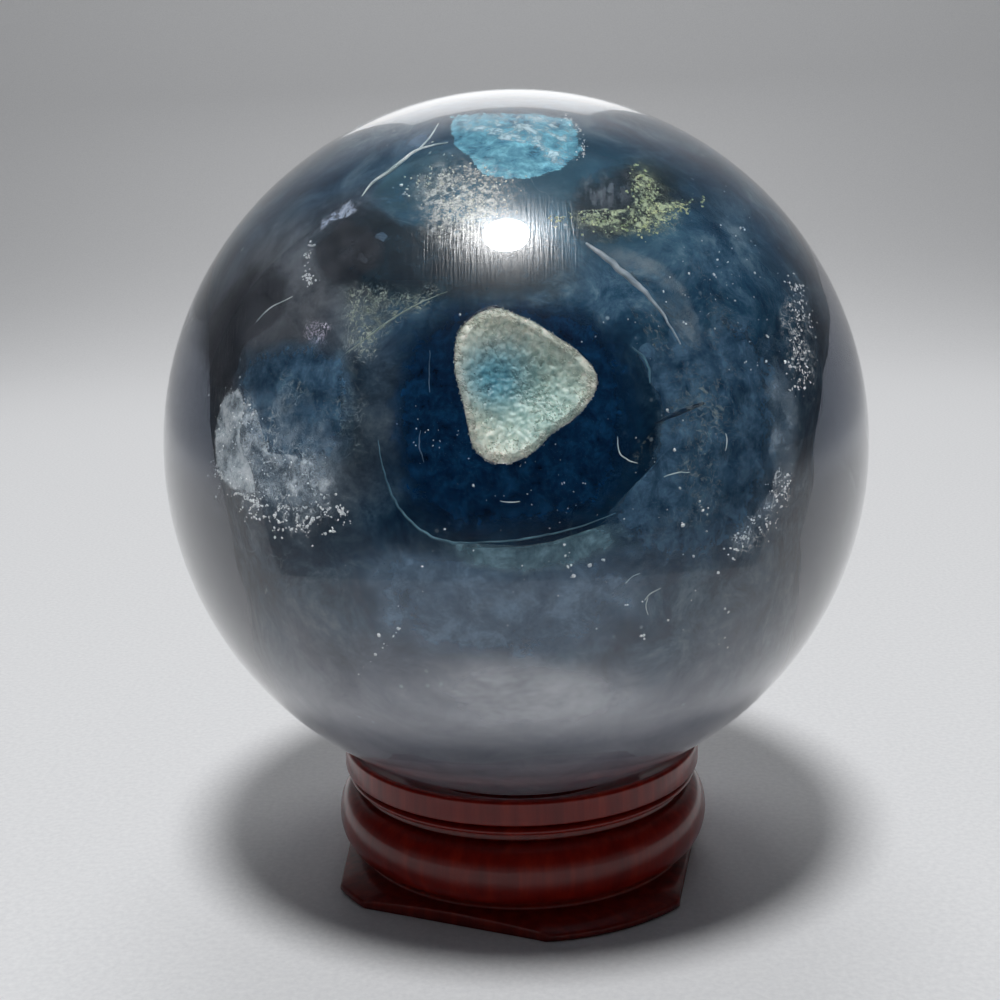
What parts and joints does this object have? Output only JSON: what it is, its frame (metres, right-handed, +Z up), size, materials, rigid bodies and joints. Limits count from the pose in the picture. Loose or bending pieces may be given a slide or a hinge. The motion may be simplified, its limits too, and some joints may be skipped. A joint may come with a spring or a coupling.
{
  "type": "fluorite crystal ball on a ring stand",
  "caption": "Polished blue-grey fluorite crystal ball with an open druzy pocket, resting on a small turned and lacquered wooden ring stand.",
  "frame": {"origin": "centre of the stand's foot, on the surface that it stands on", "axes": "+Z up through the middle of the stand and the ball, -Y towards the front where the pocket shows, +X to the right seen from the front"},
  "size_m": [0.062, 0.0618, 0.0699],
  "materials": {
    "crystal": "polished translucent slate-blue and smoky lavender fluorite with milky zones and a druzy pocket",
    "lacquered_wood": "turned hardwood under deep red-brown gloss lacquer"
  },
  "bodies": {
    "root": {"crystal_sphere": "crystal", "ring_stand": "lacquered_wood"}
  },
  "joints": []
}
